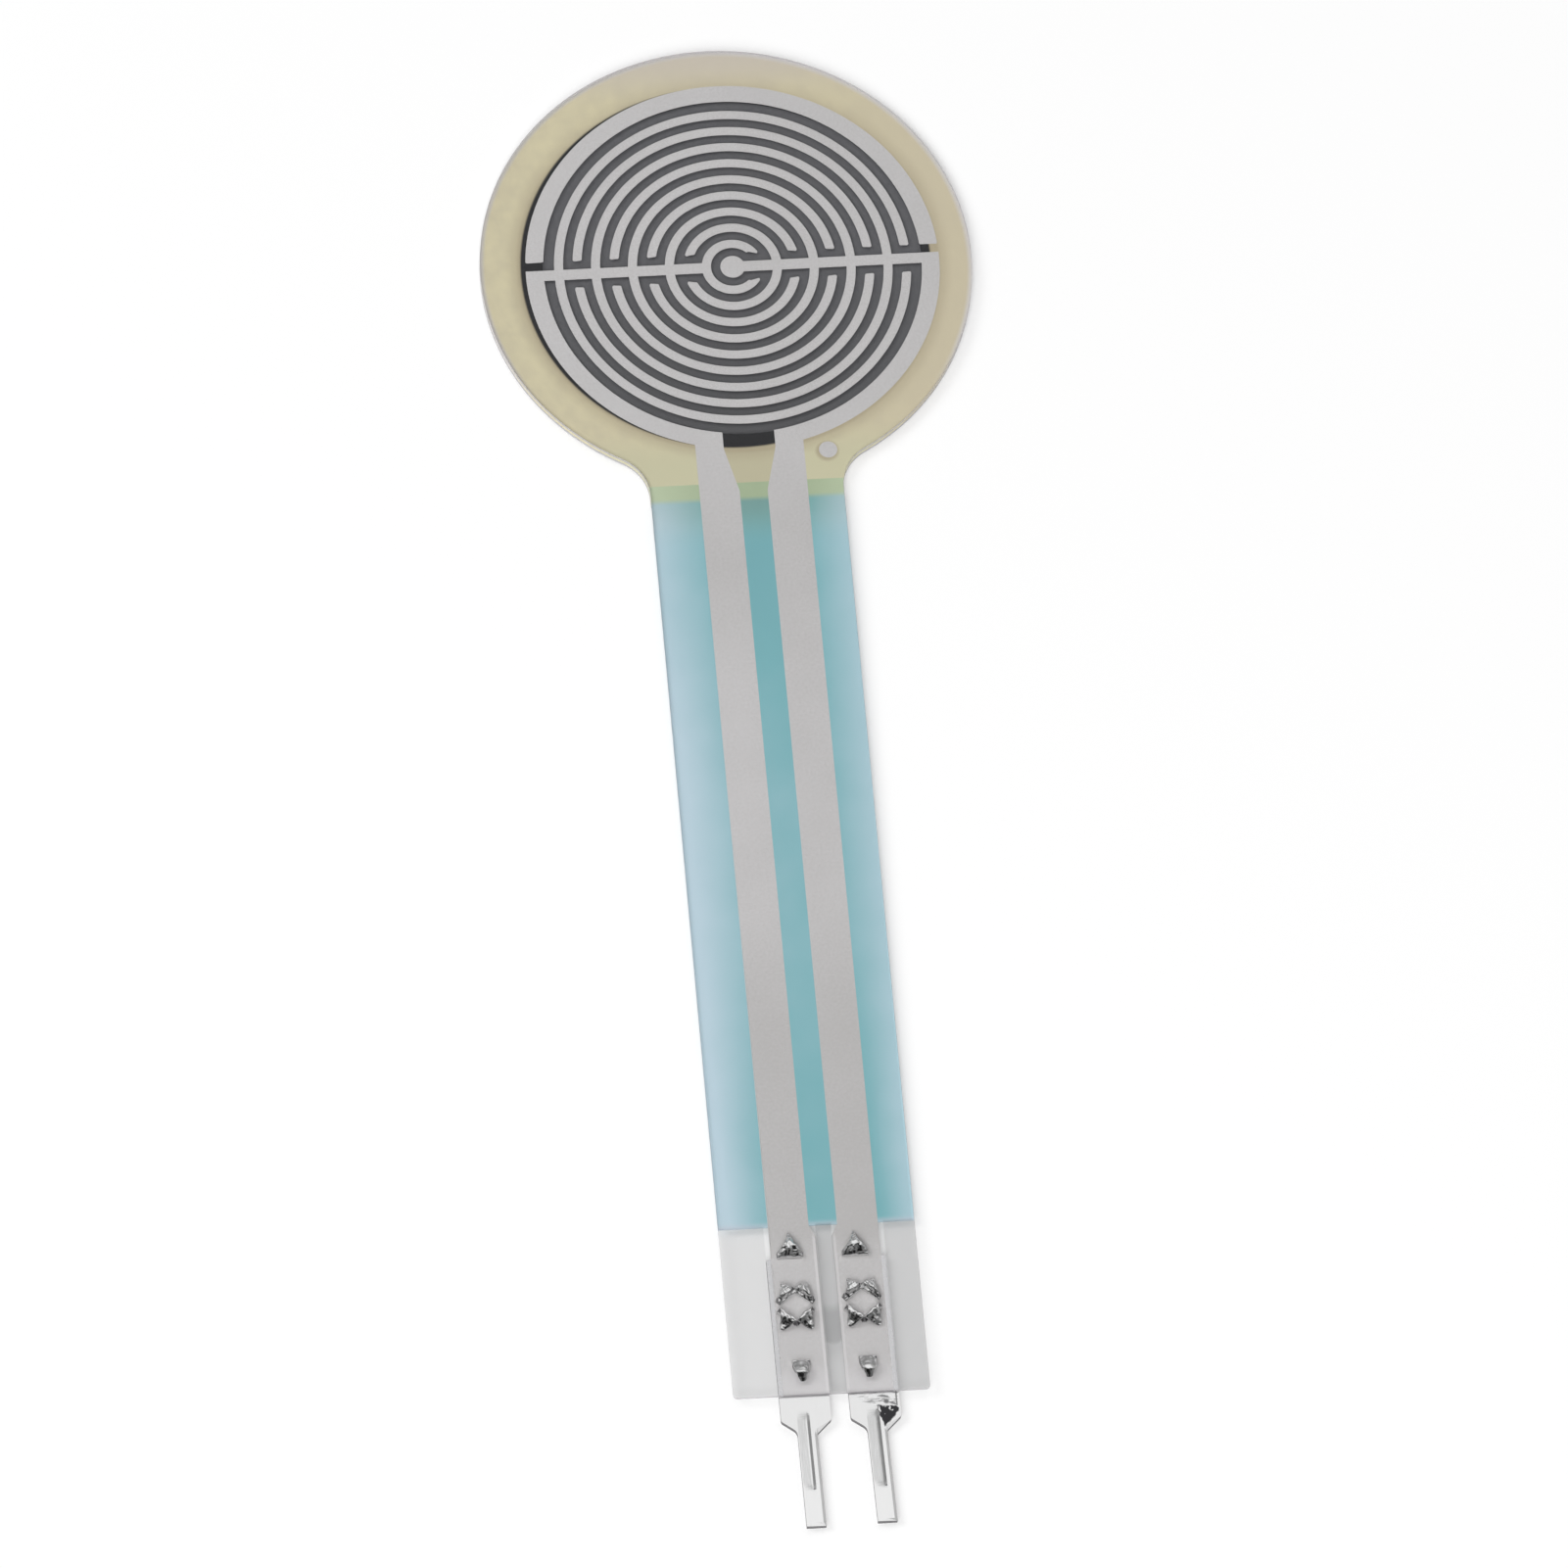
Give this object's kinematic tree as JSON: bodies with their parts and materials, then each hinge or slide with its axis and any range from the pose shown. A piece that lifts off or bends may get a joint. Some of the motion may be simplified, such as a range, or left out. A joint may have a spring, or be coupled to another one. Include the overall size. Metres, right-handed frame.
{
  "type": "force sensing resistor",
  "caption": "Round thin-film force sensor: ring electrodes printed under a clear film over a carbon disc, with a flat two-trace tail and crimped solder pins.",
  "frame": {"origin": "centre of the round head on the back of the back film", "axes": "+Z out of the sensing face, the tail and its pins run along -Y, +X to the right seen from the sensing face with the tail down"},
  "size_m": [0.0184, 0.0615, 0.0007],
  "materials": {
    "clear_film": "clear polyester film with a soft satin sheen",
    "silver_ink": "matte printed silver ink",
    "insulation_ink": "translucent blue-green printed coat",
    "adhesive": "pale yellow transfer adhesive",
    "carbon_ink": "matte dark grey carbon ink",
    "back_film": "milky film",
    "tinned_metal": "bright tin plating over copper alloy strip"
  },
  "bodies": {
    "root": {"front_film": "clear_film", "electrode_left": "silver_ink", "electrode_right": "silver_ink", "guard_arc": "silver_ink", "register_mark": "silver_ink", "insulation_coat": "insulation_ink", "spacer_adhesive": "adhesive", "carbon_disc": "carbon_ink", "back_film": "back_film", "contact_left": "tinned_metal", "contact_right": "tinned_metal"}
  },
  "joints": []
}
